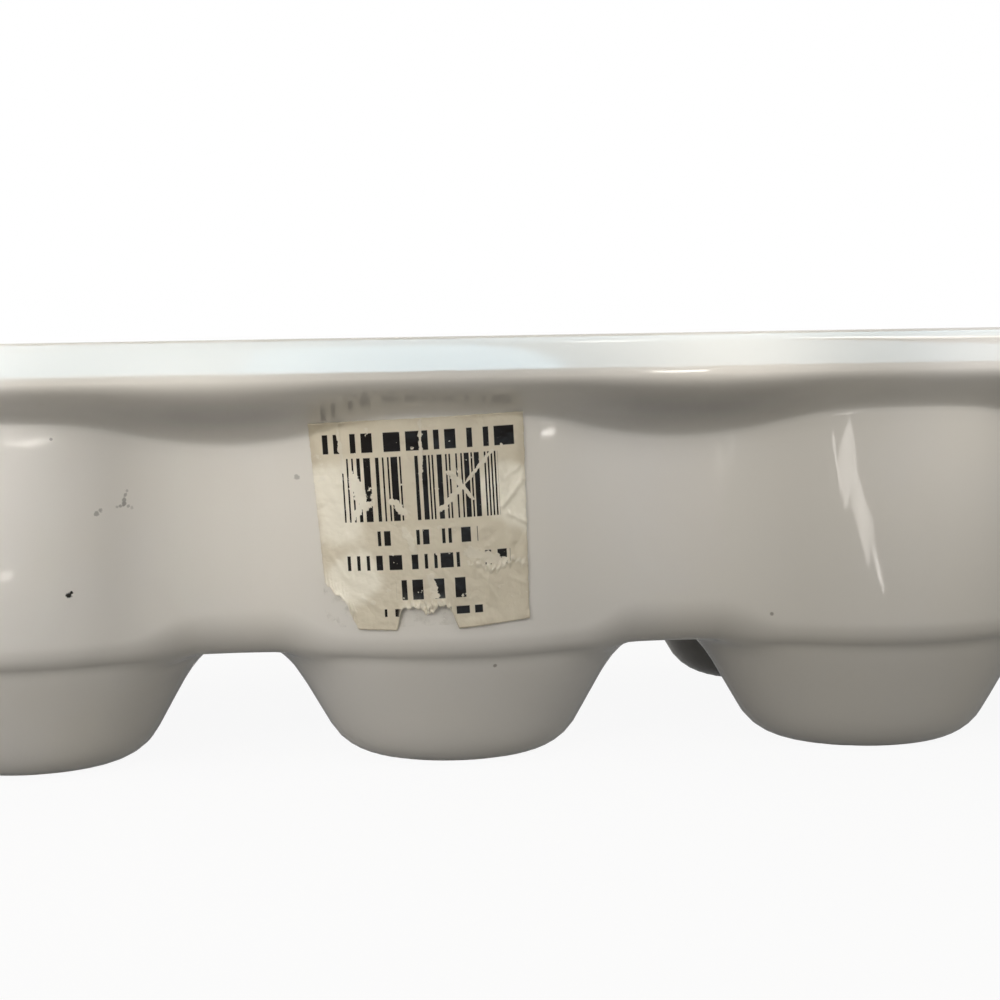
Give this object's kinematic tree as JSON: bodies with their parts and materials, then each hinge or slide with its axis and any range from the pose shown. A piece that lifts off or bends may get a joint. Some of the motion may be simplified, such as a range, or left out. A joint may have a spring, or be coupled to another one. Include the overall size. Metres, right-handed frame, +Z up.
{
  "type": "egg tray",
  "caption": "White glazed ceramic egg tray shaped like the base of an egg carton, with tapered cups, a scalloped wall, a thick rim and a torn paper label.",
  "frame": {"origin": "on the table under the middle of the tray, level with the undersides of the cups", "axes": "+X along the longer rows of cups, -Y towards the long side that carries the label, +Z up"},
  "size_m": [0.3232, 0.1152, 0.051],
  "materials": {
    "white_glaze": "glossy white glaze over fired clay",
    "label_paper": "aged cream paper with worn black print",
    "label_glue": "thin translucent film of label adhesive"
  },
  "bodies": {
    "root": {"rim": "white_glaze", "front_wall": "white_glaze", "right_wall": "white_glaze", "back_wall": "white_glaze", "left_wall": "white_glaze", "floor_web": "white_glaze", "cup_a1": "white_glaze", "cup_a2": "white_glaze", "cup_a3": "white_glaze", "cup_a4": "white_glaze", "cup_a5": "white_glaze", "cup_a6": "white_glaze", "cup_b1": "white_glaze", "cup_b2": "white_glaze", "cup_b3": "white_glaze", "cup_b4": "white_glaze", "cup_b5": "white_glaze", "cup_b6": "white_glaze", "label_adhesive": "label_glue", "price_label": "label_paper"}
  },
  "joints": []
}
